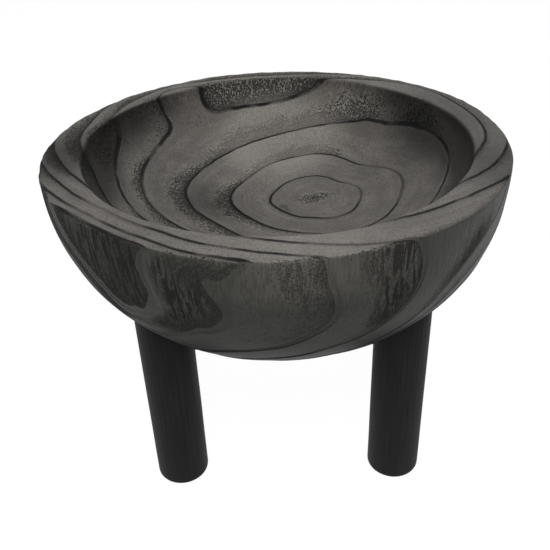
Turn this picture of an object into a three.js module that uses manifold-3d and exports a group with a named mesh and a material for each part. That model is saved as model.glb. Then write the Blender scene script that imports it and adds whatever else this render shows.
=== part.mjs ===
// A footed bowl: a thick bowl hollowed from one round of paulownia, standing on four turned legs.
// Each leg is let into a flat-bottomed socket in the belly and held by a glued dowel.
// Millimetres, +Z up. The origin is on the table, under the middle of the bowl.
import * as THREE from "three";
import { mergeVertices } from "three/addons/utils/BufferGeometryUtils.js";
import Module from "manifold-3d";

const wasm = await Module();
wasm.setup();

// ---- Driving dimensions -------------------------------------------------------------------------
const RIM_RADIUS = 150; // axis to the outside edge of the rim
const OVERALL_HEIGHT = 217; // table to the top of the rim
const BELLY_DEPTH = 124; // rim down to the underside
const RIM_WIDTH = 24; // across the top of the wall
const WELL_DEPTH = 51; // rim down to the floor of the hollow
const RIM_ROUND = 3.5; // rounding of both edges of the rim

// The belly and the well are superellipses: (radius / widest)^WIDE + (depth / deepest)^DEEP = 1.
const BELLY_WIDE = 2.5;
const BELLY_DEEP = 2.08;
const WELL_WIDE = 2.0;
const WELL_DEEP = 2.0;

const LEG_RADIUS = 17.6;
const LEG_INSET = 44; // outside edge of the rim in to the middle of a leg, seen from above
const FOOT_ROUND = 4; // rounding of the edge that stands on the table
const LEG_TOP_CHAMFER = 1.2;
const SOCKET_LIP = 3; // how far the shallow side of a leg's end is let into the belly

const DOWEL_RADIUS = 6;
const DOWEL_IN_LEG = 28; // length of dowel inside the leg
const DOWEL_COVER = 20; // wood left between a dowel's upper end and the well
const DOWEL_CHAMFER = 1.5;

const JOINT_GAP = 0.3; // glue line between a piece and the hole it sits in
const BORE_SPARE = 2; // air for glue past each end of a dowel

// ---- Fineness -----------------------------------------------------------------------------------
const BOWL_SIDES = 72;
const BELLY_STEPS = 16;
const WELL_STEPS = 10;
const LEG_SIDES = 32;
const DOWEL_SIDES = 20;
const ROUND_STEPS = 3;

// ---- Materials ----------------------------------------------------------------------------------
const wood = (color, roughness) => new THREE.MeshStandardMaterial({ color, roughness, metalness: 0 });
const scorchedPaulownia = wood(0x4b4a45, 0.75);
const blackStainedLeg = wood(0x212123, 0.6);
const plainBeech = wood(0xc9a26f, 0.7);

// ---- Small helpers ------------------------------------------------------------------------------
const point = (radius, height) => new THREE.Vector2(radius, height);

// Points on a quarter circle about a centre, from one angle to another, in degrees.
function corner(centreRadius, centreHeight, radius, from, to) {
  return Array.from({ length: ROUND_STEPS + 1 }, (_, i) => {
    const angle = THREE.MathUtils.degToRad(from + ((to - from) * i) / ROUND_STEPS);
    return point(centreRadius + radius * Math.cos(angle), centreHeight + radius * Math.sin(angle));
  });
}

// Turns a profile of (radius, height) points, given from its lower end to its upper end, about +Z.
function turned(profile, sides) {
  return new THREE.LatheGeometry(profile, sides).rotateX(Math.PI / 2);
}

function toSolid(geometry) {
  const bare = geometry.clone();
  bare.deleteAttribute("normal");
  bare.deleteAttribute("uv");
  const merged = mergeVertices(bare, 1e-3);
  return new wasm.Manifold(
    new wasm.Mesh({
      numProp: 3,
      vertProperties: merged.attributes.position.array,
      triVerts: new Uint32Array(merged.index.array),
    }),
  );
}

function toGeometry(solid) {
  const mesh = solid.getMesh();
  const geometry = new THREE.BufferGeometry();
  geometry.setAttribute("position", new THREE.BufferAttribute(mesh.vertProperties, 3));
  geometry.setIndex(new THREE.BufferAttribute(mesh.triVerts, 1));
  geometry.computeVertexNormals();
  return geometry;
}

function named(name, geometry, material) {
  const mesh = new THREE.Mesh(geometry, material);
  mesh.name = name;
  return mesh;
}

// ---- Bowl ---------------------------------------------------------------------------------------
const mouthRadius = RIM_RADIUS - RIM_WIDTH;

// Depth below the rim of a superellipse at a radius from the axis.
function depthAt(radius, widest, deepest, wide, deep) {
  return deepest * (1 - (radius / widest) ** wide) ** (1 / deep);
}
const bellyDepthAt = (radius) => depthAt(radius, RIM_RADIUS, BELLY_DEPTH, BELLY_WIDE, BELLY_DEEP);
const wellDepthAt = (radius) => depthAt(radius, mouthRadius, WELL_DEPTH, WELL_WIDE, WELL_DEEP);

// (radius, height) points along a superellipse, evenly spread by angle from the rim to the axis.
// They start where the surface has dropped by the rim's rounding.
function sweep(steps, widest, deepest, wide, deep) {
  const start = Math.asin((RIM_ROUND / deepest) ** (deep / 2));
  return Array.from({ length: steps + 1 }, (_, i) => {
    const angle = start + ((Math.PI / 2 - start) * i) / steps;
    const radius = i === steps ? 0 : widest * Math.cos(angle) ** (2 / wide);
    return point(radius, OVERALL_HEIGHT - deepest * Math.sin(angle) ** (2 / deep));
  });
}

function bowlBlank() {
  const belly = sweep(BELLY_STEPS, RIM_RADIUS, BELLY_DEPTH, BELLY_WIDE, BELLY_DEEP).reverse();
  const well = sweep(WELL_STEPS, mouthRadius, WELL_DEPTH, WELL_WIDE, WELL_DEEP);
  const outerEdge = belly[belly.length - 1].x;
  const innerEdge = well[0].x;
  const roundHeight = OVERALL_HEIGHT - RIM_ROUND;
  const profile = [
    ...belly.slice(0, -1),
    ...corner(outerEdge - RIM_ROUND, roundHeight, RIM_ROUND, 0, 90),
    ...corner(innerEdge + RIM_ROUND, roundHeight, RIM_ROUND, 90, 180),
    ...well.slice(1),
  ];
  return turned(profile, BOWL_SIDES);
}

// ---- Legs and dowels ----------------------------------------------------------------------------
const legReach = RIM_RADIUS - LEG_INSET; // axis of the bowl to the axis of a leg
const legTop = OVERALL_HEIGHT - bellyDepthAt(legReach + LEG_RADIUS) + SOCKET_LIP;
const socketTop = legTop + JOINT_GAP;
const dowelTop = OVERALL_HEIGHT - wellDepthAt(legReach - DOWEL_RADIUS) - DOWEL_COVER;
const dowelFoot = legTop - DOWEL_IN_LEG;
const boreRadius = DOWEL_RADIUS + JOINT_GAP;

function legShape() {
  return turned(
    [
      point(0, 0),
      ...corner(LEG_RADIUS - FOOT_ROUND, FOOT_ROUND, FOOT_ROUND, -90, 0),
      point(LEG_RADIUS, legTop - LEG_TOP_CHAMFER),
      point(LEG_RADIUS - LEG_TOP_CHAMFER, legTop),
      point(boreRadius, legTop),
      point(boreRadius, dowelFoot - BORE_SPARE),
      point(0, dowelFoot - BORE_SPARE),
    ],
    LEG_SIDES,
  );
}

function dowelShape() {
  return turned(
    [
      point(0, dowelFoot),
      point(DOWEL_RADIUS - DOWEL_CHAMFER, dowelFoot),
      point(DOWEL_RADIUS, dowelFoot + DOWEL_CHAMFER),
      point(DOWEL_RADIUS, dowelTop - DOWEL_CHAMFER),
      point(DOWEL_RADIUS - DOWEL_CHAMFER, dowelTop),
      point(0, dowelTop),
    ],
    DOWEL_SIDES,
  );
}

// What the drill takes out for one leg: a socket for the leg's end, and a narrower bore for its dowel.
function drilling() {
  return turned(
    [
      point(0, 0),
      point(LEG_RADIUS + JOINT_GAP, 0),
      point(LEG_RADIUS + JOINT_GAP, socketTop),
      point(boreRadius, socketTop),
      point(boreRadius, dowelTop + BORE_SPARE),
      point(0, dowelTop + BORE_SPARE),
    ],
    LEG_SIDES,
  );
}

// ---- Assembly -----------------------------------------------------------------------------------
const corners = ["rear_right", "rear_left", "front_left", "front_right"].map((name, quarter) => {
  const turn = THREE.MathUtils.degToRad(45 + 90 * quarter);
  return { name, x: legReach * Math.cos(turn), y: legReach * Math.sin(turn) };
});

function drilledBowl() {
  const holes = corners.map(({ x, y }) => toSolid(drilling().translate(x, y, 0)));
  return holes.reduce((solid, hole) => solid.subtract(hole), toSolid(bowlBlank()));
}

const footedBowl = new THREE.Group();
footedBowl.add(named("bowl", toGeometry(drilledBowl()), scorchedPaulownia));

for (const { name, x, y } of corners) {
  const stand = new THREE.Group();
  stand.position.set(x, y, 0);
  stand.add(named(`leg_${name}`, legShape(), blackStainedLeg));
  stand.add(named(`dowel_${name}`, dowelShape(), plainBeech));
  footedBowl.add(stand);
}

export default footedBowl;
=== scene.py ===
"""A footed bowl of scorched paulownia: one thick block with a shallow well, on turned legs.

The bowl is cut from a round of timber with the heart of the tree near the middle of the well,
so the growth rings run round the well, across the rim and down the belly.
"""
import math

import bpy
import numpy as np
from mathutils import Matrix, Vector, noise


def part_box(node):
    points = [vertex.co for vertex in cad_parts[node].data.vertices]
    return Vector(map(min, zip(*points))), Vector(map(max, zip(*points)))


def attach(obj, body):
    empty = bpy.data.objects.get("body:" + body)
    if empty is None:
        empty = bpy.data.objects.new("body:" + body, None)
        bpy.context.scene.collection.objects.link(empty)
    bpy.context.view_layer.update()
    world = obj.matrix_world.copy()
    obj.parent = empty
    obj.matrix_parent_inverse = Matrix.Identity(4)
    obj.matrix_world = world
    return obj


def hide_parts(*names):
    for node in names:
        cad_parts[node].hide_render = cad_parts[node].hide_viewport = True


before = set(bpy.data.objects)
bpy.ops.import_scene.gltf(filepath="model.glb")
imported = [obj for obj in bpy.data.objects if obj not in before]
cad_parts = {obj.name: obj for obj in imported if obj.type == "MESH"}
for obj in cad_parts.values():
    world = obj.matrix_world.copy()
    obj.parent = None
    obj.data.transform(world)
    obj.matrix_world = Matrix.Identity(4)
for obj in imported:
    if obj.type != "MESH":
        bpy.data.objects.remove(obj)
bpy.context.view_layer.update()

bl_info = {
    "name": "Footed Bowl",
    "version": (1, 0, 0),
    "blender": (4, 5, 0),
    "location": "3D View > Sidebar > Footed Bowl",
    "description": "Makes a scorched wooden bowl on turned legs, with its studio",
    "category": "Add Mesh",
}

MM = 0.001
TAU = 2 * math.pi
SHARP_ANGLE = math.radians(45)
CORNERS = ("front_left", "front_right", "rear_right", "rear_left")


def linear(hex_colour):
    """A colour written as sRGB hex, as the linear values that shaders work in."""
    parts = [int(hex_colour[i : i + 2], 16) / 255 for i in (1, 3, 5)]
    return tuple(p / 12.92 if p <= 0.04045 else ((p + 0.055) / 1.055) ** 2.4 for p in parts)


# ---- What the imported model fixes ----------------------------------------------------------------
bowl_low, bowl_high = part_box("bowl")
RIM_HEIGHT = bowl_high.z
RIM_RADIUS = (bowl_high.x - bowl_low.x) / 2
BELLY_DEPTH = RIM_HEIGHT - bowl_low.z


def upright(node):
    """The axis (x, y), radius, lowest and highest point of an upright round CAD node."""
    low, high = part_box(node)
    return (low.x + high.x) / 2, (low.y + high.y) / 2, (high.x - low.x) / 2, low.z, high.z


# ---- Sizes and colours that a user may change ---------------------------------------------------
def length(name, description, millimetres):
    return bpy.props.FloatProperty(
        name=name, description=description, default=millimetres * MM, min=0, unit="LENGTH", precision=4
    )


def share(name, description, default):
    return bpy.props.FloatProperty(name=name, description=description, default=default, subtype="FACTOR")


def colour(name, description, hex_colour):
    return bpy.props.FloatVectorProperty(
        name=name, description=description, default=linear(hex_colour), size=3, min=0, max=1, subtype="COLOR"
    )


def power(name, description, watts):
    return bpy.props.FloatProperty(name=name, description=description, default=watts, min=0, unit="POWER")


class BowlSettings(bpy.types.PropertyGroup):
    rim_width: length("Rim width", "Across the flat top of the wall", 23)
    rim_round: length("Rim rounding", "Rounding of both edges of the rim", 2.2)
    well_depth: length("Well depth", "Rim down to the floor of the hollow", 51)
    joint_gap: length("Joint gap", "Glue line between a leg and its socket", 0.3)
    terrace: length("Terrace", "How far a ring's hard edge stands above the soft start of the next", 0.5)
    tool_marks: length("Tool marks", "Height of the low waves that hand scraping left", 0.35)
    satin: colour("Satin wood", "Dense late wood, waxed and rubbed", "#6b6661")
    shade: colour("Shaded wood", "Darker clouds in the dense wood", "#4b4844")
    brushed: colour("Brushed wood", "Ash-grey ridges left between the open pores", "#928e87")
    # Painted light: this pale colour is the pool of light drawn on the back slope of the well and the front
    # of the rim.
    pale: colour("Rubbed wood", "Where the scorch was rubbed back furthest", "#938e87")
    # Besides real char, this colour is drawn as painted shade on the wall of the well, under the belly, round
    # the rim and past each groove.
    char: colour("Char", "Scorched wood in the pores and the ring lines", "#0d0d0d")
    side_grain: colour("Side grain", "Long grain of the belly, olive-grey under the wax", "#40413c")
    side_dark: colour("Dark side grain", "Open-pored streaks of the belly", "#1d1e1d")


class LegSettings(bpy.types.PropertyGroup):
    foot_round: length("Foot rounding", "Rounding of the edge that stands on the table", 4)
    top_chamfer: length("Top chamfer", "Bevel of the hidden upper end", 1.2)
    flute_depth: length("Flute depth", "Depth of the glue flutes along a dowel", 0.4)
    stain: colour("Black stain", "Stain on the legs", "#1d1d1f")
    stain_worn: colour("Rubbed stain", "Where the stain is thinner on the ridges of the grain", "#2a2a2c")
    beech: colour("Beech", "Pale hidden dowels", "#c9a26f")
    beech_fleck: colour("Beech fleck", "Short darker rays in the beech", "#a67c4d")


class StudioSettings(bpy.types.PropertyGroup):
    key_power: power("Key light", "Power of the soft light above the front", 7.0)
    rear_power: power("Rear light", "Power of the soft light behind", 2.75)
    fill: share("Fill", "Strength of the even light from all round", 0.16)
    lens: bpy.props.FloatProperty(
        name="Lens", description="Focal length of the camera", default=47.06, unit="CAMERA"
    )
    paper: colour("Paper", "Pale floor under the bowl", "#a8a8a8")


def settings(group):
    return getattr(bpy.context.scene.footed_bowl, group)


class FootedBowlSettings(bpy.types.PropertyGroup):
    bowl: bpy.props.PointerProperty(type=BowlSettings, name="Bowl")
    legs: bpy.props.PointerProperty(type=LegSettings, name="Legs")
    studio: bpy.props.PointerProperty(type=StudioSettings, name="Studio")


# ---- Meshes -------------------------------------------------------------------------------------
def turned_grid(profile, sides):
    """Vertices and faces of a closed solid turned about Z, from (radius, height) points.

    The first and the last point lie on the axis. Every other point makes one ring of vertices.
    """
    rings = np.array(profile[1:-1])
    angle = np.arange(sides) * TAU / sides
    spun = np.empty((len(rings), sides, 3))
    spun[..., 0] = rings[:, :1] * np.cos(angle)
    spun[..., 1] = rings[:, :1] * np.sin(angle)
    spun[..., 2] = rings[:, 1:]
    vertices = np.vstack([spun.reshape(-1, 3), [0, 0, profile[0][1]], [0, 0, profile[-1][1]]])
    here = np.arange(sides)
    after = np.roll(here, -1)
    rows = np.arange(len(rings) - 1)[:, None] * sides
    quads = np.stack([rows + here, rows + after, rows + sides + after, rows + sides + here], -1)
    last = (len(rings) - 1) * sides
    bottom = np.stack([np.full(sides, len(vertices) - 2), after, here], -1)
    top = np.stack([np.full(sides, len(vertices) - 1), last + here, last + after], -1)
    return vertices, [*quads.reshape(-1, 4).tolist(), *bottom.tolist(), *top.tolist()]


def arc(centre, radius, start, end, steps):
    """Points on a circle about a centre, from one angle to another, in degrees."""
    angles = np.radians(np.linspace(start, end, steps))
    return [(centre[0] + radius * math.cos(a), centre[1] + radius * math.sin(a)) for a in angles]


def straight(start, end, steps):
    """Points from start up to end, without end."""
    return [tuple(np.array(start) + (np.array(end) - start) * i / steps) for i in range(steps)]


def spaced(points, spacing):
    """The same line with points a given distance apart, its first and last kept."""
    points = np.array(points)
    along = np.concatenate([[0], np.cumsum(np.linalg.norm(np.diff(points, axis=0), axis=1))])
    steps = max(1, round(along[-1] / spacing))
    wanted = np.linspace(0, along[-1], steps + 1)
    return np.stack([np.interp(wanted, along, points[:, i]) for i in (0, 1)], -1).tolist()


def new_object(name, vertices, faces):
    """A smooth-shaded object in the model's frame, with its sharper edges kept crisp."""
    mesh = bpy.data.meshes.new(name)
    mesh.from_pydata(np.asarray(vertices).tolist(), [], faces)
    obj = bpy.data.objects.new(name, mesh)
    bpy.context.scene.collection.objects.link(obj)
    mesh.shade_smooth()
    mesh.set_sharp_from_angle(angle=SHARP_ANGLE)
    return obj


def positions(mesh):
    flat = np.empty(len(mesh.vertices) * 3)
    mesh.vertices.foreach_get("co", flat)
    return flat.reshape(-1, 3)


def normals(mesh):
    flat = np.empty(len(mesh.vertices) * 3, np.float32)
    mesh.vertex_normals.foreach_get("vector", flat)
    return flat.reshape(-1, 3).astype(float)


def store(mesh, name, values):
    """Keeps one number per vertex under a name that a material can read."""
    attribute = mesh.attributes.new(name, "FLOAT", "POINT")
    attribute.data.foreach_set("value", np.asarray(values, np.float32))


def cut(obj, tools):
    """Cuts closed tools out of an object and removes them."""
    for tool in tools:
        modifier = obj.modifiers.new("Cut", "BOOLEAN")
        modifier.operation = "DIFFERENCE"
        modifier.solver = "MANIFOLD"
        modifier.object = tool
    evaluated = obj.evaluated_get(bpy.context.evaluated_depsgraph_get())
    whole = obj.data
    obj.data = bpy.data.meshes.new_from_object(evaluated)
    obj.data.name = obj.name
    obj.modifiers.clear()
    bpy.data.meshes.remove(whole)
    for tool in tools:
        bpy.data.meshes.remove(tool.data)
    if len(obj.data.vertices) == 0:
        raise RuntimeError(f"cutting {obj.name} left nothing")


def wander(points, size, seed):
    """Smooth noise of about -1 to 1 at each point, with features of a given size in metres."""
    offset = Vector((seed * 7.3, seed * 3.1, seed * 5.7))
    return np.array([noise.noise(Vector(p) / size + offset) for p in points])


def waves(angle, lobes):
    """Sum of lobes round a circle: each is (how many, height, direction of the first in degrees)."""
    return sum(height * np.cos(count * (angle - math.radians(first))) for count, height, first in lobes)


# ---- The timber ---------------------------------------------------------------------------------
def patches(points, listed):
    """Sum of soft round patches: each is x, y, height from the rim and reach, in mm, and a strength."""
    total = np.zeros(len(points))
    for x, y, height, reach, strength in listed:
        away = np.linalg.norm(points - (x * MM, y * MM, RIM_HEIGHT + height * MM), axis=1) / (reach * MM)
        total = total + strength * np.exp(-(away**2))
    return total


# Where the heart of the tree stands half way down the well, and how far it leans sideways and
# forwards for each metre down. The ring widths are in mm, from the heart outwards.
# The numbers from HEART to UNEVEN_GROWTH were solved by a least-squares fit, apart from the last
# three widths and the knot, and then rounded.
HEART = np.array([16, 18]) * MM
HEART_LEAN = np.array([0.35, -0.1])
HEART_LEVEL = RIM_HEIGHT - 25 * MM
RING_WIDTHS = [32, 27, 27, 24, 13, 12, 17, 11, 10, 6, 18, 12, 12]
RING_EDGES = np.concatenate([[0], np.cumsum(RING_WIDTHS)]) * MM
# Lobes of the rings: how many round the tree, share of the radius, direction of the first.
RING_LOBES = [(1, 0.075, -55), (2, 0.11, -40), (3, 0.04, -45), (4, 0.02, 15), (5, 0.02, 15), (6, 0.02, 5)]
# Patches where the trunk grew unevenly. The strength is how far the rings are pushed out there, in
# mm. The first is a small knot.
UNEVEN_GROWTH = [
    (-74, 105, -6, 15, 15),
    (138, 0, 0, 55, 9),
    (98, 98, 0, 55, 42),
    (-98, 98, 0, 55, 13),
    (-138, 0, 0, 55, -1),
    (0, -138, 0, 45, 4),
    (98, -98, 0, 55, -19),
    (75, 70, -42, 45, -9),
    (-30, 70, -42, 45, -4),
    (-30, -38, -42, 45, -4),
    (75, -38, -42, 45, -3),
    (60, -120, -50, 40, -16),
    (-45, -130, -50, 40, 5),
    (-90, -110, -30, 35, 2),
    (-120, -70, -50, 45, 18),
    (-50, -140, -10, 25, 8),
    (-85, -118, -5, 25, 3),
    (-10, -148, -20, 25, 6),
]


def grown(points):
    """The radius in metres that the tree had when the wood at each point grew, wobbles included."""
    below = (HEART_LEVEL - points[:, 2])[:, None]
    out = points[:, :2] - HEART - below * HEART_LEAN
    swell = 1 + waves(np.arctan2(out[:, 1], out[:, 0]), RING_LOBES)
    upright_points = points * (1, 1, 0.3)
    wobble = 0.9 * wander(upright_points, 0.03, 11) + 0.4 * wander(upright_points, 0.009, 12)
    return np.linalg.norm(out, axis=1) / swell + wobble * MM - patches(points, UNEVEN_GROWTH) * MM


# How much faster or slower than across the tree the rings may pass, seen from above.
SLOWEST, FASTEST = 0.12, 3


def growth(points):
    """How many rings lie inside each point, and its own ring's width in mm as seen from above."""
    step = 0.5 * MM
    radius = grown(points)
    across_x = grown(points + (step, 0, 0)) - radius
    across_y = grown(points + (0, step, 0)) - radius
    slope = np.hypot(across_x, across_y) / step
    count = np.interp(radius, RING_EDGES, np.arange(len(RING_EDGES)))
    middles = (RING_EDGES[:-1] + RING_EDGES[1:]) / 2
    return count, np.interp(radius, middles, RING_WIDTHS) / slope.clip(SLOWEST, FASTEST)


# Patches where the brush opened the pores deepest or, below zero, passed them over.
OPENED_PATCHES = [
    (-45, 122, -20, 22, 0.9),
    (-12, 128, -20, 24, 1.0),
    (24, 126, -20, 24, 1.0),
    (60, 112, -22, 24, 0.6),
    (112, 68, -22, 24, 0.6),
    (-80, 24, -42, 26, 0.9),
    (-50, 5, -47, 24, 1.0),
    (-62, -24, -42, 24, 0.7),
    (-24, 90, -36, 28, 0.6),
    (18, 96, -36, 26, 0.6),
    (-30, -45, -44, 20, 0.5),
    (18, 14, -51, 9, 0.9),
    (34, 19, -50, 8, 0.8),
    (-140, 25, 0, 26, 0.7),
    (-136, -20, 0, 22, 0.3),
    (-120, 88, 0, 22, 0.4),
    (75, 20, -45, 40, -0.5),
    (20, -140, 5, 34, -0.25),
    (90, -110, 5, 34, -0.25),
    (-100, -96, 8, 34, -0.3),
]
# The same on the belly, where the open pores show as hairs.
HAIRY_PATCHES = [
    (-135, -60, -28, 34, 0.9),
    (-112, -97, -8, 24, 1.2),
    (-95, -110, -24, 24, 1.1),
    (-108, -94, -38, 22, 1.1),
    (-76, -122, -26, 20, 1.0),
    (-36, -143, -20, 18, 0.35),
    (-54, -135, -38, 20, 0.4),
    (16, -147, -8, 18, 0.5),
    (64, -134, -8, 14, 0.9),
    (60, -134, -25, 13, 0.6),
    (52, -131, -42, 13, 0.5),
    (100, -110, -16, 26, 0.3),
]
# Patches where the scorch was left dark or, below zero, where painted light makes the wood pale. Round the
# rim the dark ones are partly char and partly painted shade, darkest away from the key light; the two pale
# ones, on the front of the rim and the back slope of the well, are painted light.
CHAR_AND_PAINTED_LIGHT_PATCHES = [
    (-134, -14, 0, 50, 0.84),
    (-114, 84, 0, 42, 0.36),
    (132, -45, 0, 46, 0.66),
    (134, 30, 0, 44, 0.38),
    (106, 84, 0, 42, 0.40),
    (10, 146, 0, 46, 0.36),
    (-50, 5, -46, 32, 0.65),
    (98, 45, -36, 40, 0.36),
    (0, 98, -30, 46, -1.6),
    (10, -138, 0, 50, -0.42),
]


def outward(points, facing):
    """How far each point of the surface faces away from the bowl's axis, from -1 to 1."""
    return np.sum(points[:, :2] * facing[:, :2], axis=1) / np.hypot(points[:, 0], points[:, 1]).clip(MM)


def deeper(points, start, fade):
    """0 down to a start below the rim, rising to 1 over a fade, both in mm."""
    return np.clip((RIM_HEIGHT - start * MM - points[:, 2]) / (fade * MM), 0, 1)


def openness(points, facing):
    """How far brushing opened the pores at each point, from 0 to 1. The underside was hardly brushed."""
    under = deeper(points, 55, 50)
    belly = np.clip((outward(points, facing) - 0.35) / 0.3, 0, 1)
    opened = 0.34 - 0.3 * under + 0.2 * wander(points, 0.05, 41)
    opened = opened + (1 - belly) * patches(points, OPENED_PATCHES) + belly * patches(points, HAIRY_PATCHES)
    return np.clip(opened, 0, 1)


def scorch(points, facing):
    """How dark each point is drawn: char, painted shade on the steep wall of the well and under the belly,
    and the listed patches, some of them painted light.
    """
    # Painted shade: the steep wall of the well is drawn darker, least at the back, which faces the key light.
    wall = np.clip((-outward(points, facing) - 0.50) / 0.40, 0, 1)
    sides = 1 - 0.75 * np.clip(points[:, 1] / RIM_RADIUS, 0, 1)
    outside = (outward(points, facing) > 0) | (facing[:, 2] < 0)
    # Painted shade under the belly, darker towards the bottom.
    under = np.where(outside, deeper(points, 22, 55), 0)
    painted_shade_and_tone = 0.92 * wall * sides + 0.90 * under + 0.10 * wander(points, 0.07, 42)
    return painted_shade_and_tone + patches(points, CHAR_AND_PAINTED_LIGHT_PATCHES)


def end_grain(points, facing):
    """How far each point shows the ends of the grain. The whole well is brushed like end grain."""
    return np.where(outward(points, facing) < 0, np.maximum(np.abs(facing[:, 2]), 0.75), np.abs(facing[:, 2]))


# ---- Materials ----------------------------------------------------------------------------------
def new_material(name):
    """An empty node material and its node tree."""
    material = bpy.data.materials.new(name)
    material.use_nodes = True
    material.node_tree.nodes.clear()
    return material, material.node_tree


def add(tree, kind, inputs=(), **options):
    """Adds a node with its options. Inputs are values, sockets or nodes, listed in order or by name."""
    made = tree.nodes.new(kind)
    for key, value in options.items():
        setattr(made, key, value)
    usable = [socket for socket in made.inputs if socket.enabled]
    for key, value in inputs.items() if isinstance(inputs, dict) else enumerate(inputs):
        socket = usable[key] if isinstance(key, int) else next(u for u in usable if u.name == key)
        if isinstance(value, bpy.types.Node):
            value = next(output for output in value.outputs if output.enabled)
        if isinstance(value, bpy.types.NodeSocket):
            tree.links.new(value, socket)
        else:
            socket.default_value = (*value, 1.0) if socket.type == "RGBA" else value
    return made


MATH, RAMP, MIX = "ShaderNodeMath", "ShaderNodeMapRange", "ShaderNodeMix"
SMOOTH = {"interpolation_type": "SMOOTHSTEP"}
# Pores run up the tree, so every grain pattern is this much longer along Z than it is wide.
GRAIN_STRETCH = 14


def grain(tree, width_mm, detail=2.0, distortion=0.0, stretch=GRAIN_STRETCH):
    """Noise whose features are a given width across the grain."""
    place = add(tree, "ShaderNodeTexCoord").outputs["Object"]
    along = add(tree, "ShaderNodeMapping", {"Vector": place, "Scale": (1, 1, 1 / stretch)})
    inputs = {"Vector": along, "Scale": 1 / (width_mm * MM), "Detail": detail, "Distortion": distortion}
    return add(tree, "ShaderNodeTexNoise", inputs).outputs["Fac"]


def ring_line(tree, ring, width, opened):
    """How far into its ring each point is, as a share and in mm, and the groove between two rings."""
    part = add(tree, MATH, (ring,), operation="FRACT")
    rest = add(tree, MATH, (1.0, part), operation="SUBTRACT")
    past_line = add(tree, MATH, (part, width), operation="MULTIPLY")
    before_line = add(tree, MATH, (rest, width), operation="MULTIPLY")
    from_line = add(tree, MATH, (past_line, before_line), operation="MINIMUM")
    groove = add(tree, RAMP, (from_line, 1.15, 0.45), **SMOOTH)
    # In places it is all but closed, above all where the brush passed over it.
    broken = add(tree, RAMP, (grain(tree, 24, detail=1, stretch=2), 0.36, 0.54, 0.55, 1.0), **SMOOTH)
    faint = add(tree, RAMP, (opened, 0.0, 0.12, 0.5, 1.0), **SMOOTH)
    groove = add(tree, MATH, (groove, broken), operation="MULTIPLY")
    return part, past_line, add(tree, MATH, (groove, faint), operation="MULTIPLY")


def open_pores(tree, part, past_line, opened):
    """The band of opened pores just outside each groove, and the pits in it.

    The band thins out over a centimetre or more, with a ragged end, and never fills a narrow
    ring. Real pores are 0.3 mm across, too fine to show, so the pits are drawn at about 1 mm.
    """
    ragged = add(tree, MATH, (grain(tree, 7), 9.0), operation="MULTIPLY")
    reach = add(tree, MATH, (opened, -9.0, ragged), operation="MULTIPLY_ADD")
    edge = add(tree, MATH, (past_line, reach), operation="ADD")
    near = add(tree, RAMP, (edge, 14.0, 1.0), **SMOOTH)
    early = add(tree, RAMP, (part, 0.95, 0.50), **SMOOTH)
    near = add(tree, MATH, (near, early), operation="MULTIPLY")
    brushed = add(tree, RAMP, (opened, 0.12, 0.70), **SMOOTH)
    band = add(tree, MATH, (near, brushed), operation="MULTIPLY")
    sparse = add(tree, MATH, (band, -0.28, grain(tree, 1.1, stretch=1.6)), operation="MULTIPLY_ADD")
    return band, add(tree, RAMP, (sparse, 0.33, 0.18), **SMOOTH)


def faint_rings(tree, ring):
    """Fainter rings inside each year's growth, which follow the same curves."""
    place = add(tree, "ShaderNodeTexCoord").outputs["Object"]
    slow = add(tree, "ShaderNodeMapping", {"Vector": place, "Scale": (25, 25, 8)})
    fine_ring = add(tree, MATH, (ring, 9.0), operation="MULTIPLY")
    inputs = {"Vector": slow, "W": fine_ring, "Scale": 1.0, "Detail": 2.0}
    clouds = add(tree, "ShaderNodeTexNoise", inputs, noise_dimensions="4D").outputs["Fac"]
    return add(tree, RAMP, (clouds, 0.36, 0.62, 0.0, 0.45), **SMOOTH)


def end_grain_colour(tree, look, ring, past_line, opened, pores):
    """Satin wood with soft clouds, ash-grey and pitted where brushed, with painted shade in a strip just past
    each groove.
    """
    band, pits = pores
    cloud = add(tree, RAMP, (grain(tree, 18, detail=4, stretch=3), 0.35, 0.68, 0.0, 0.6), **SMOOTH)
    specks = add(tree, RAMP, (grain(tree, 1.5, detail=1), 0.40, 0.30, 0.0, 0.5), **SMOOTH)
    wood = add(tree, MIX, (cloud, look.satin, look.shade), data_type="RGBA")
    wood = add(tree, MIX, (faint_rings(tree, ring), wood, look.shade), data_type="RGBA")
    wood = add(tree, MIX, (specks, wood, look.char), data_type="RGBA")
    wood = add(tree, MIX, (band, wood, look.brushed), data_type="RGBA")
    dark_pits = add(tree, MATH, (pits, 0.84), operation="MULTIPLY")
    wood = add(tree, MIX, (dark_pits, wood, look.char), data_type="RGBA")
    # Painted shade: a dark strip just past each groove, where the next ring steps down.
    step_shade_reach = add(tree, RAMP, (past_line, 5.0, 0.5), **SMOOTH)
    step_shade = add(tree, RAMP, (opened, 0.1, 0.7, 0.2, 0.6), **SMOOTH)
    step_shade = add(tree, MATH, (step_shade_reach, step_shade), operation="MULTIPLY")
    return add(tree, MIX, (step_shade, wood, look.char), data_type="RGBA")


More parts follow.
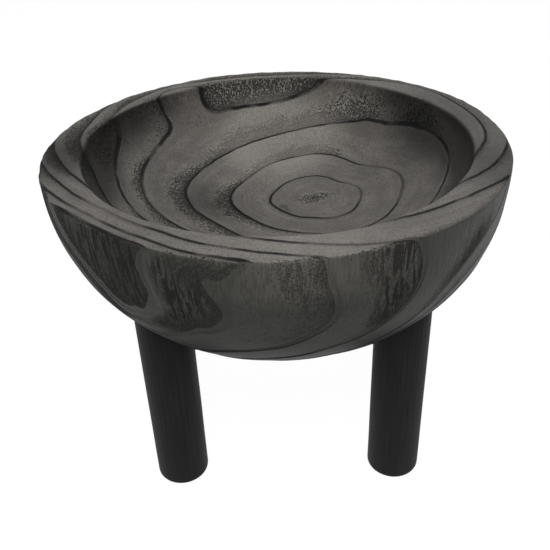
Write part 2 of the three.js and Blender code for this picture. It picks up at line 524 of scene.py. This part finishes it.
def side_grain_colour(tree, look, part, past_line, opened, band):
    """Olive-grey long grain, with dark hairs where the brush opened the first half of a ring."""
    early = add(tree, RAMP, (part, 0.95, 0.45), **SMOOTH)
    brushed = add(tree, RAMP, (opened, 0.40, 0.95), **SMOOTH)
    wide = add(tree, MATH, (early, brushed), operation="MULTIPLY")
    clear_of_line = add(tree, RAMP, (past_line, 0.0, 4.0), **SMOOTH)
    narrow = add(tree, MATH, (band, clear_of_line), operation="MULTIPLY")
    hairy = add(tree, MATH, (wide, narrow), operation="MAXIMUM")
    strength = add(tree, RAMP, (hairy, 0.0, 1.0, 0.15, 1.0), **SMOOTH)
    hair = add(tree, RAMP, (grain(tree, 2.2, detail=3, distortion=0.8, stretch=9), 0.44, 0.57), **SMOOTH)
    hair = add(tree, MATH, (hair, strength), operation="MULTIPLY")
    shadow = add(tree, RAMP, (past_line, 1.4, 0.1), **SMOOTH)
    shadow_strength = add(tree, RAMP, (opened, 0.3, 0.9, 0.15, 0.45), **SMOOTH)
    shadow = add(tree, MATH, (shadow, shadow_strength), operation="MULTIPLY")
    dark = add(tree, MATH, (hair, shadow), operation="MAXIMUM")
    raised = add(tree, MATH, (hairy, 0.2), operation="MULTIPLY")
    wood = add(tree, MIX, (raised, look.side_grain, look.brushed), data_type="RGBA")
    return hair, add(tree, MIX, (dark, wood, look.side_dark), data_type="RGBA")


def scorched_paulownia(look):
    """Paulownia, hollowed by hand, scorched, wire-brushed and waxed.

    Brushing opens the soft, large-pored wood that starts each ring into a pitted band and leaves the
    dense wood satin, with a thin black groove between one ring and the next. On the belly the
    same pores are seen from the side, as long hairy streaks.
    """
    material, tree = new_material("scorched_brushed_paulownia")
    ring, width, end_grain, opened, scorched = (
        add(tree, "ShaderNodeAttribute", attribute_name=name).outputs["Fac"]
        for name in ("ring", "ring_width", "end_grain", "opened", "scorched")
    )
    part, past_line, line = ring_line(tree, ring, width, opened)
    band, pits = open_pores(tree, part, past_line, opened)
    end = end_grain_colour(tree, look, ring, past_line, opened, (band, pits))
    hair, side = side_grain_colour(tree, look, part, past_line, opened, band)
    fibre = grain(tree, 0.9, detail=3)

    across_grain = add(tree, RAMP, (end_grain, 0.35, 0.75), **SMOOTH)
    wood = add(tree, MIX, (across_grain, side, end), data_type="RGBA")
    # Painted light: below zero the scorched attribute draws the wood pale, as a pool of light.
    rubbed = add(tree, RAMP, (scorched, 0.0, -1.0, 0.0, 0.75), **SMOOTH)
    wood = add(tree, MIX, (rubbed, wood, look.pale), data_type="RGBA")
    # Char, and painted shade on the steep wall of the well, under the belly and round the rim.
    char_and_shade = add(tree, RAMP, (scorched, 0.0, 1.0, 0.0, 0.85), **SMOOTH)
    wood = add(tree, MIX, (char_and_shade, wood, look.char), data_type="RGBA")
    dark_fibre = add(tree, RAMP, (fibre, 0.40, 0.62, 0.0, 0.32), **SMOOTH)
    wood = add(tree, MIX, (dark_fibre, wood, look.char), data_type="RGBA")
    depth = add(tree, RAMP, (end_grain, 0.3, 0.7, 0.22, 1.0), **SMOOTH)
    groove = add(tree, MATH, (line, depth), operation="MULTIPLY")
    wood = add(tree, MIX, (groove, wood, look.char), data_type="RGBA")

    # Char and open pores scatter the light; only the dense wood keeps the sheen of the wax.
    open_wood = add(tree, MATH, (groove, band), operation="MAXIMUM")
    roughness = add(tree, RAMP, (open_wood, 0.0, 1.0, 0.50, 0.85), **SMOOTH)
    # The sheen also drops where char and painted shade are drawn.
    sheen = add(tree, RAMP, (scorched, 0.2, 0.9, 0.25, 0.12), **SMOOTH)

    # Heights in millimetres.
    heights = add(tree, MATH, (pits, -0.8), operation="MULTIPLY")
    heights = add(tree, MATH, (line, -0.9, heights), operation="MULTIPLY_ADD")
    heights = add(tree, MATH, (fibre, 0.24, heights), operation="MULTIPLY_ADD")
    heights = add(tree, MATH, (hair, -0.3, heights), operation="MULTIPLY_ADD")
    bump = add(tree, "ShaderNodeBump", {"Height": heights, "Distance": MM, "Strength": 1.0})
    surface = {
        "Base Color": wood,
        "Roughness": roughness,
        "Metallic": 0.0,
        "IOR": 1.45,
        "Specular IOR Level": sheen,
        "Normal": bump,
    }
    shader = add(tree, "ShaderNodeBsdfPrincipled", surface)
    add(tree, "ShaderNodeOutputMaterial", {"Surface": shader})
    return material


def black_stained_leg(look):
    """Plain timber, turned, sanded, stained black and oiled: near-black satin with a faint long grain."""
    material, tree = new_material("black_stained_turned_wood")
    long_grain = grain(tree, 1.4, detail=3, distortion=0.4, stretch=30)
    cloud = grain(tree, 18, detail=2, stretch=3)
    worn = add(tree, MATH, (long_grain, cloud), operation="MULTIPLY")
    worn = add(tree, RAMP, (worn, 0.16, 0.36))
    colour_out = add(tree, MIX, (worn, look.stain, look.stain_worn), data_type="RGBA")
    roughness = add(tree, RAMP, (cloud, 0.0, 1.0, 0.5, 0.68))
    bump = add(tree, "ShaderNodeBump", {"Height": long_grain, "Distance": 0.15 * MM, "Strength": 1.0})
    surface = {
        "Base Color": colour_out,
        "Roughness": roughness,
        "Metallic": 0.0,
        "IOR": 1.45,
        "Specular IOR Level": 0.12,
        "Normal": bump,
    }
    shader = add(tree, "ShaderNodeBsdfPrincipled", surface)
    add(tree, "ShaderNodeOutputMaterial", {"Surface": shader})
    return material


def plain_beech(look):
    """Beech dowel rod, milled and left bare: pale, dry, with short darker flecks along the grain."""
    material, tree = new_material("bare_milled_beech")
    flecks = grain(tree, 0.7, detail=1, stretch=4)
    amount = add(tree, RAMP, (flecks, 0.58, 0.70))
    colour_out = add(tree, MIX, (amount, look.beech, look.beech_fleck), data_type="RGBA")
    bump = add(tree, "ShaderNodeBump", {"Height": flecks, "Distance": 0.1 * MM, "Strength": 1.0})
    surface = {"Base Color": colour_out, "Roughness": 0.65, "Metallic": 0.0, "IOR": 1.5, "Normal": bump}
    shader = add(tree, "ShaderNodeBsdfPrincipled", surface)
    add(tree, "ShaderNodeOutputMaterial", {"Surface": shader})
    return material


# ---- The bowl -----------------------------------------------------------------------------------
# The belly and the well are superellipses: (radius / widest)^wide + (depth / deepest)^deep = 1.
BELLY_POWERS = (2.5, 2.08)
WELL_POWERS = (2.0, 2.0)
BOWL_SIDES = 396
# Distance between the rows of vertices, and how many round each edge of the rim.
BELLY_SPACING = 1.8 * MM
WELL_SPACING = 1.5 * MM
EDGE_ROWS = 7
# Lobes of the outside edge of the rim: how many round the bowl, share of the radius, direction.
# They were solved by a least-squares fit and then rounded.
OUTLINE_LOBES = [
    (0, -0.003, 0),
    (1, 0.011, 120),
    (2, 0.004, 60),
    (3, 0.0065, 45),
    (4, 0.0025, 30),
    (5, 0.0035, -25),
    (6, 0.002, 25),
    (8, 0.0025, -10),
]
# Lobes of the mouth of the well, which lies a little off the middle.
MOUTH_LOBES = [(1, 0.029, 103), (2, 0.015, 93), (5, 0.004, 10)]
# The outside lobes fade over this depth, and the belly is this share fuller below than its curve.
LOBE_DEPTH = 60 * MM
FULLNESS = 0.012
# The hard edge of a ring drops to the next ring over this many millimetres.
DROP_WIDTH = 3
# Each bore runs this far past the end of its dowel.
BORE_SPARE = 2 * MM


def superellipse(widest, deepest, powers, top_drop):
    """(radius, height) points from the rim down to the axis, starting a small drop below the rim."""
    wide, deep = powers
    start = math.asin((top_drop / deepest) ** (deep / 2))
    angles = np.linspace(start, math.pi / 2, 400)
    radius = widest * np.maximum(np.cos(angles), 0) ** (2 / wide)
    radius[-1] = 0
    return np.stack([radius, RIM_HEIGHT - deepest * np.sin(angles) ** (2 / deep)], -1)


def bowl_profile(sizes):
    """The bowl's section from the middle of the underside, over the rim, to the middle of the well."""
    mouth = RIM_RADIUS - sizes.rim_width
    rounding = sizes.rim_round
    belly = superellipse(RIM_RADIUS, BELLY_DEPTH, BELLY_POWERS, rounding)[::-1]
    well = superellipse(mouth, sizes.well_depth, WELL_POWERS, rounding)
    outer = (belly[-1][0] - rounding, RIM_HEIGHT - rounding)
    inner = (well[0][0] + rounding, RIM_HEIGHT - rounding)
    flat = [(outer[0], RIM_HEIGHT), (inner[0], RIM_HEIGHT)]
    return [
        *spaced(belly, BELLY_SPACING)[:-1],
        *arc(outer, rounding, 0, 90, EDGE_ROWS)[:-1],
        *spaced(flat, WELL_SPACING)[:-1],
        *arc(inner, rounding, 90, 180, EDGE_ROWS)[:-1],
        *spaced(well, WELL_SPACING),
    ]


def shape_by_hand(points, sizes):
    """Gives the turned shape the slight lobes of hand work, which fade down the belly."""
    mouth = RIM_RADIUS - sizes.rim_width
    angle = np.arctan2(points[:, 1], points[:, 0])
    reach = np.hypot(points[:, 0], points[:, 1])
    outside = np.clip((reach - mouth) / sizes.rim_width, 0, 1)
    well_height = RIM_HEIGHT - sizes.well_depth * np.sqrt(np.clip(1 - (reach / mouth) ** 2, 0, 1))
    outside = np.where(points[:, 2] < well_height - 5 * MM, 1, outside)
    fade = np.exp(-(((RIM_HEIGHT - points[:, 2]) / LOBE_DEPTH) ** 2))
    belly = waves(angle, OUTLINE_LOBES) * fade + FULLNESS * (1 - fade)
    lobes = outside * belly + (1 - outside) * waves(angle, MOUTH_LOBES)
    shaped = points.copy()
    shaped[:, :2] *= (1 + lobes)[:, None]
    return shaped


def relief(points, facing_up, sizes):
    """How far hand work, the growth rings and brushing lift or sink the surface at each point."""
    count, width = growth(points)
    part = count % 1
    from_line = np.where(part < 0.5, part, part - 1) * width
    drop = np.clip(from_line / DROP_WIDTH + 0.5, 0, 1)
    drop = drop * drop * (3 - 2 * drop)
    ramp = np.where(part < 0.5, part + 1, part)
    step = (ramp - 1) + (1 - drop)
    marks = sizes.tool_marks * (wander(points, 0.032, 21) + 0.35 * wander(points, 0.012, 22))
    near_edge = np.exp(-(((np.hypot(points[:, 0], points[:, 1]) - RIM_RADIUS) / (4 * MM)) ** 2))
    near_edge *= np.exp(-(((points[:, 2] - RIM_HEIGHT) / (6 * MM)) ** 2))
    nicks = 0.5 * MM * near_edge * wander(points, 0.008, 23)
    return sizes.terrace * (step - 0.5) * (0.35 + 0.65 * facing_up) + marks + nicks


def drill(name, leg, dowel, sizes):
    """What is drilled out of the bowl for one leg: its socket, and the narrower bore of its dowel."""
    x, y, leg_radius, _, leg_top = upright(leg)
    _, _, dowel_radius, _, dowel_top = upright(dowel)
    socket, bore = leg_radius + sizes.joint_gap, dowel_radius + sizes.joint_gap
    shoulder = leg_top + sizes.joint_gap
    clear = bowl_low.z - 5 * MM
    end = dowel_top + BORE_SPARE
    profile = [(0, clear), (socket, clear), (socket, shoulder), (bore, shoulder), (bore, end), (0, end)]
    vertices, faces = turned_grid(profile, 96)
    return new_object(name, vertices + (x, y, 0), faces)


def build_bowl(sizes):
    vertices, faces = turned_grid(bowl_profile(sizes), BOWL_SIDES)
    obj = new_object("hollowed_bowl", shape_by_hand(vertices, sizes), faces)
    mesh = obj.data
    place, facing = positions(mesh), normals(mesh)
    place += facing * relief(place, np.abs(facing[:, 2]), sizes)[:, None]
    mesh.vertices.foreach_set("co", place.ravel())
    mesh.update()
    cut(obj, [drill(f"drill_{c}", f"leg_{c}", f"dowel_{c}", sizes) for c in CORNERS])
    mesh = obj.data
    mesh.set_sharp_from_angle(angle=SHARP_ANGLE)
    place, facing = positions(mesh), normals(mesh)
    count, width = growth(place)
    store(mesh, "ring", count)
    store(mesh, "ring_width", width)
    store(mesh, "opened", openness(place, facing))
    # The scorched attribute holds char, painted shade and painted light.
    store(mesh, "scorched", scorch(place, facing))
    store(mesh, "end_grain", end_grain(place, facing))
    mesh.materials.clear()
    mesh.materials.append(scorched_paulownia(sizes))
    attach(obj, "root")
    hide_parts("bowl")
    return obj


class AddBowl(bpy.types.Operator):
    """Adds the hollowed block with its growth rings and the sockets for its legs"""

    bl_idname = "footed_bowl.add_bowl"
    bl_label = "Add Bowl"

    def execute(self, context):
        build_bowl(settings("bowl"))
        return {"FINISHED"}


# ---- The legs and their dowels ------------------------------------------------------------------
LEG_SIDES = 96
DOWEL_SIDES = 120
FLUTES = 20
# Height of the faint waves that sanding left on a leg.
LEG_WAVES = 0.12 * MM


def build_leg(where, look, bowl):
    x, y, radius, foot, top = upright(f"leg_{where}")
    _, _, dowel_radius, dowel_foot, _ = upright(f"dowel_{where}")
    bore = dowel_radius + bowl.joint_gap
    bore_floor = dowel_foot - BORE_SPARE
    rounding, chamfer = look.foot_round, look.top_chamfer
    profile = [
        (0, foot),
        *straight((radius * 0.2, foot), (radius - rounding, foot), 5),
        *arc((radius - rounding, foot + rounding), rounding, -90, 0, 9)[:-1],
        *straight((radius, foot + rounding), (radius, top - chamfer), 60),
        (radius, top - chamfer),
        (radius - chamfer, top),
        (bore, top),
        *straight((bore, top - MM), (bore, bore_floor), 8),
        (bore, bore_floor),
        (0, bore_floor),
    ]
    vertices, faces = turned_grid(profile, LEG_SIDES)
    seen = np.hypot(vertices[:, 0], vertices[:, 1]) > bore + MM
    seen &= (vertices[:, 2] > foot + 0.5 * MM) & (vertices[:, 2] < top - 5 * MM)
    wave = LEG_WAVES * wander(vertices * (1, 1, 0.4) + (x, y, 0), 0.014, 31) * seen
    around = np.arctan2(vertices[:, 1], vertices[:, 0])
    vertices += np.stack([np.cos(around) * wave, np.sin(around) * wave, 0 * wave], -1)
    obj = new_object(f"turned_leg_{where}", vertices + (x, y, 0), faces)
    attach(obj, "root")
    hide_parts(f"leg_{where}")
    return obj


def build_dowel(where, look):
    """A glue dowel: straight flutes round it, and bevelled ends."""
    x, y, radius, low, high = upright(f"dowel_{where}")
    bevel = 1.5 * MM
    profile = [
        (0, low),
        (radius - bevel, low),
        *straight((radius, low + bevel), (radius, high - bevel), 24),
        (radius, high - bevel),
        (radius - bevel, high),
        (0, high),
    ]
    vertices, faces = turned_grid(profile, DOWEL_SIDES)
    around = np.arctan2(vertices[:, 1], vertices[:, 0])
    reach = np.hypot(vertices[:, 0], vertices[:, 1])
    flute = np.clip(-np.cos(FLUTES * around), 0, 1) * look.flute_depth
    vertices[:, :2] *= (1 - np.where(reach > radius / 2, flute / radius, 0))[:, None]
    obj = new_object(f"fluted_dowel_{where}", vertices + (x, y, 0), faces)
    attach(obj, "root")
    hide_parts(f"dowel_{where}")
    return obj


class AddLegs(bpy.types.Operator):
    """Adds the round legs, each with a rounded foot and a bore for its dowel"""

    bl_idname = "footed_bowl.add_legs"
    bl_label = "Add Legs"

    def execute(self, context):
        material = black_stained_leg(settings("legs"))
        for where in CORNERS:
            build_leg(where, settings("legs"), settings("bowl")).data.materials.append(material)
        return {"FINISHED"}


class AddDowels(bpy.types.Operator):
    """Adds the hidden glued dowel in each leg's joint"""

    bl_idname = "footed_bowl.add_dowels"
    bl_label = "Add Dowels"

    def execute(self, context):
        material = plain_beech(settings("legs"))
        for where in CORNERS:
            build_dowel(where, settings("legs")).data.materials.append(material)
        return {"FINISHED"}


# ---- The studio ---------------------------------------------------------------------------------
def white_to_the_eye(tree):
    """1 for rays from the camera and for what is seen in gloss or through glass, else 0."""
    path = add(tree, "ShaderNodeLightPath")
    eye = (path.outputs["Is Camera Ray"], path.outputs["Is Glossy Ray"])
    eye = add(tree, MATH, eye, operation="MAXIMUM")
    return add(tree, MATH, (eye, path.outputs["Is Transmission Ray"]), operation="MAXIMUM")


def set_world(look):
    world = bpy.data.worlds.new("studio")
    bpy.context.scene.world = world
    world.use_nodes = True
    tree = world.node_tree
    tree.nodes.clear()
    strength = add(tree, RAMP, (white_to_the_eye(tree), 0.0, 1.0, look.fill, 1.0))
    background = add(tree, "ShaderNodeBackground", {"Color": (1, 1, 1), "Strength": strength})
    add(tree, "ShaderNodeOutputWorld", {"Surface": background})


def pale_floor(look):
    """Matte white paper: it fades to the white of the background and keeps only the shadow."""
    material, tree = new_material("matte_white_paper")
    # The glow is a little over white, because the paper below it, which takes the shadow, is grey.
    paper = add(tree, "ShaderNodeBsdfDiffuse", {"Color": look.paper[:]})
    glow = add(tree, "ShaderNodeEmission", {"Color": (1, 1, 1), "Strength": 1.22})
    amount = add(tree, MATH, (white_to_the_eye(tree), 0.8), operation="MULTIPLY")
    seen = add(tree, "ShaderNodeMixShader", (amount, paper, glow))
    add(tree, "ShaderNodeOutputMaterial", {"Surface": seen})
    return material


def add_floor(look):
    half = 3.0
    level = -0.3 * MM
    corners = [(x, y, level) for x, y in ((-half, -half), (half, -half), (half, half), (-half, half))]
    floor = new_object("floor", corners, [(0, 1, 2, 3)])
    floor.data.materials.append(pale_floor(look))


def soft_light(name, size, power, place, target):
    """A square soft light that faces a point."""
    lamp = bpy.data.lights.new(name, "AREA")
    lamp.size = size
    lamp.energy = power
    obj = bpy.data.objects.new(name, lamp)
    obj.location = place
    obj.rotation_euler = (Vector(target) - Vector(place)).to_track_quat("-Z", "Y").to_euler()
    bpy.context.scene.collection.objects.link(obj)


def add_camera(look):
    """A camera above and in front, tipped so that the bowl stands whole in a square frame."""
    distance = 3.161 * RIM_RADIUS
    elevation, pitch, roll, yaw = (math.radians(a) for a in (21.9, 32.48, -2.19, 0.64))
    camera = bpy.data.objects.new("camera", bpy.data.cameras.new("camera"))
    camera.location = (0, -distance * math.cos(elevation), RIM_HEIGHT + distance * math.sin(elevation))
    turn = Matrix.Rotation(yaw, 3, "Z") @ Matrix.Rotation(math.pi / 2 - pitch, 3, "X")
    camera.rotation_euler = (turn @ Matrix.Rotation(roll, 3, "Z")).to_euler()
    camera.data.lens = look.lens
    camera.data.sensor_width = 36
    camera.data.clip_start = 10 * MM
    bpy.context.scene.collection.objects.link(camera)
    bpy.context.scene.camera = camera


class SetStudio(bpy.types.Operator):
    """Adds the pale floor, the soft lights and the camera"""

    bl_idname = "footed_bowl.set_studio"
    bl_label = "Set Studio"

    def execute(self, context):
        look = settings("studio")
        set_world(look)
        add_floor(look)
        middle = (0, 0, RIM_HEIGHT * 0.7)
        soft_light("key", 0.45, look.key_power, (0.0, -0.55, 0.95), middle)
        soft_light("rear", 0.8, look.rear_power, (0.1, 0.8, 1.1), middle)
        add_camera(look)
        context.scene.view_settings.view_transform = "Standard"
        return {"FINISHED"}


# ---- The panel ----------------------------------------------------------------------------------
class FootedBowlPanel(bpy.types.Panel):
    """Lists the steps in order, then every size and colour"""

    bl_idname = "VIEW3D_PT_footed_bowl"
    bl_label = "Footed Bowl"
    bl_space_type = "VIEW_3D"
    bl_region_type = "UI"
    bl_category = "Footed Bowl"

    def draw(self, context):
        for step in STEPS:
            self.layout.operator(step.bl_idname)
        for group in ("bowl", "legs", "studio"):
            box = self.layout.box()
            box.label(text=group.capitalize())
            values = getattr(context.scene.footed_bowl, group)
            for name in values.__annotations__:
                box.prop(values, name)


STEPS = (AddBowl, AddLegs, AddDowels, SetStudio)
CLASSES = (BowlSettings, LegSettings, StudioSettings, FootedBowlSettings, *STEPS, FootedBowlPanel)


def register():
    for item in CLASSES:
        bpy.utils.register_class(item)
    bpy.types.Scene.footed_bowl = bpy.props.PointerProperty(type=FootedBowlSettings)


def unregister():
    del bpy.types.Scene.footed_bowl
    for item in reversed(CLASSES):
        bpy.utils.unregister_class(item)


def main():
    register()
    bpy.ops.footed_bowl.add_bowl()
    bpy.ops.footed_bowl.add_legs()
    bpy.ops.footed_bowl.add_dowels()
    bpy.ops.footed_bowl.set_studio()


if __name__ == "__main__":
    main()
